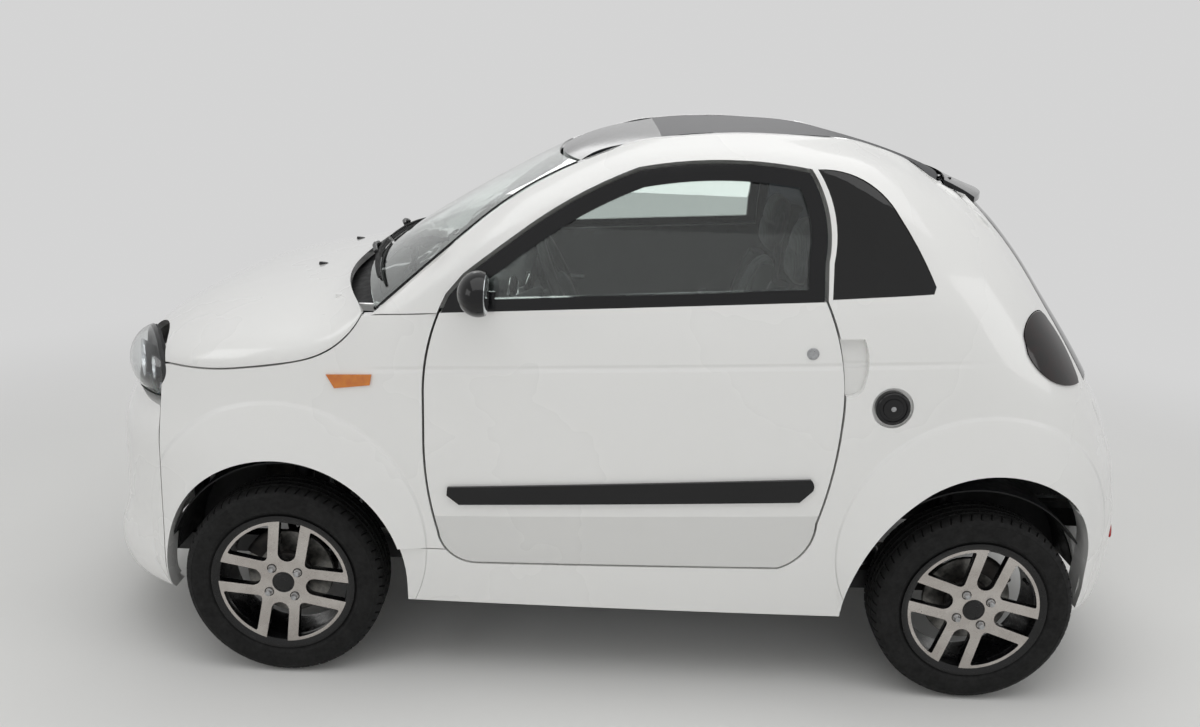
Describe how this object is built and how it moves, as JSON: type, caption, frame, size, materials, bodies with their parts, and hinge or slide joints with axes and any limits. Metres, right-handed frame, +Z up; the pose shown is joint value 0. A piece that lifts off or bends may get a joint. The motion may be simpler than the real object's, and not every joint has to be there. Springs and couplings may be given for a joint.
{
  "type": "microcar",
  "caption": "Small two-seat microcar with side doors, a bonnet, a glass tailgate, steered front wheels and a cabin with seats.",
  "frame": {"origin": "on the ground below the middle of the car's box", "axes": "+X from the nose to the tail, +Z up, the car's own left side at negative Y"},
  "size_m": [2.9874, 1.7558, 1.5042],
  "materials": {
    "body_paint": "gloss white paint",
    "black_gloss": "gloss black plastic",
    "black_trim": "fine grained black plastic",
    "roof": "dark grey roof skin",
    "glass": "clear glass with a light tint",
    "dark_glass": "dark tinted glass",
    "lamp": "clear lamp lens",
    "smoked_lamp": "smoked lamp lens",
    "amber_lens": "orange side repeater lens",
    "tyre": "road tyre",
    "alloy": "machined alloy",
    "frame": "black coated steel",
    "floor": "sheet",
    "cast": "as cast",
    "steel": "bare steel",
    "seat_fabric": "dark woven cloth"
  },
  "bodies": {
    "body": {"front_bumper": "body_paint", "grille": "black_trim", "rear_bumper": "body_paint", "roof_panel": "roof", "windscreen": "glass", "cowl_panel": "black_trim", "chassis_frame": "frame", "floor_pan": "floor", "rear_axle": "frame", "dashboard": "black_trim", "engine_block": "cast", "exhaust": "steel", "quarter_windows": "dark_glass", "tail_lamps": "smoked_lamp", "headlamps": "lamp", "side_repeaters": "amber_lens", "seats": "seat_fabric", "front_suspension": "frame", "fuel_cap": "black_gloss", "wheel_arch_liners": "black_trim", "fender_left": "body_paint", "body_side_left": "body_paint", "fender_right": "body_paint", "body_side_right": "body_paint"},
    "door_left": {"door_panel_left": "body_paint", "door_frame_left": "black_gloss", "door_window_left": "glass"},
    "knuckle_left": {"knuckle_left": "cast"},
    "wheel_front_left": {"tyre_front_left": "tyre", "rim_front_left": "alloy"},
    "wheel_rear_left": {"tyre_rear_left": "tyre", "rim_rear_left": "alloy"},
    "door_right": {"door_panel_right": "body_paint", "door_frame_right": "black_gloss", "door_window_right": "glass"},
    "knuckle_right": {"knuckle_right": "cast"},
    "wheel_front_right": {"tyre_front_right": "tyre", "rim_front_right": "alloy"},
    "wheel_rear_right": {"tyre_rear_right": "tyre", "rim_rear_right": "alloy"},
    "bonnet": {"bonnet": "body_paint"},
    "tailgate": {"tailgate_glass": "dark_glass", "tailgate_spoiler": "black_gloss"},
    "steering_wheel": {"steering_wheel": "black_trim"}
  },
  "joints": [
    {"name": "door_left_hinge", "type": "hinge", "parent": "body", "child": "door_left", "pos_m": [-0.499, -0.744, 0.7], "axis": [0, 0, -1], "range_deg": [0, 65]},
    {"name": "door_right_hinge", "type": "hinge", "parent": "body", "child": "door_right", "pos_m": [-0.499, 0.744, 0.7], "axis": [0, 0, 1], "range_deg": [0, 65]},
    {"name": "steer_left", "type": "hinge", "parent": "body", "child": "knuckle_left", "pos_m": [-0.877, -0.578, 0.272], "axis": [0, 0, 1], "range_deg": [-28, 28]},
    {"name": "steer_right", "type": "hinge", "parent": "body", "child": "knuckle_right", "pos_m": [-0.877, 0.578, 0.272], "axis": [0, 0, 1], "range_deg": [-28, 28]},
    {"name": "spin_front_left", "type": "hinge", "parent": "knuckle_left", "child": "wheel_front_left", "pos_m": [-0.877, -0.6275, 0.272], "axis": [0, 1, 0], "continuous": true},
    {"name": "spin_front_right", "type": "hinge", "parent": "knuckle_right", "child": "wheel_front_right", "pos_m": [-0.877, 0.6275, 0.272], "axis": [0, 1, 0], "continuous": true},
    {"name": "spin_rear_left", "type": "hinge", "parent": "body", "child": "wheel_rear_left", "pos_m": [0.998, -0.6275, 0.272], "axis": [0, 1, 0], "continuous": true},
    {"name": "spin_rear_right", "type": "hinge", "parent": "body", "child": "wheel_rear_right", "pos_m": [0.998, 0.6275, 0.272], "axis": [0, 1, 0], "continuous": true},
    {"name": "bonnet_hinge", "type": "hinge", "parent": "body", "child": "bonnet", "pos_m": [-0.63, 0, 1.026], "axis": [0, 1, 0], "range_deg": [0, 50]},
    {"name": "tailgate_hinge", "type": "hinge", "parent": "body", "child": "tailgate", "pos_m": [0.884, 0, 1.392], "axis": [0, -1, 0], "range_deg": [0, 72]},
    {"name": "steering_column", "type": "hinge", "parent": "body", "child": "steering_wheel", "pos_m": [-0.15, -0.3, 1.03], "axis": [0.9063, 0, 0.4226], "range_deg": [-400, 400]}
  ],
  "couplings": [
    {"joint": "steer_right", "follows": "steer_left", "ratio": 1},
    {"joint": "steering_column", "follows": "steer_left", "ratio": 14}
  ]
}
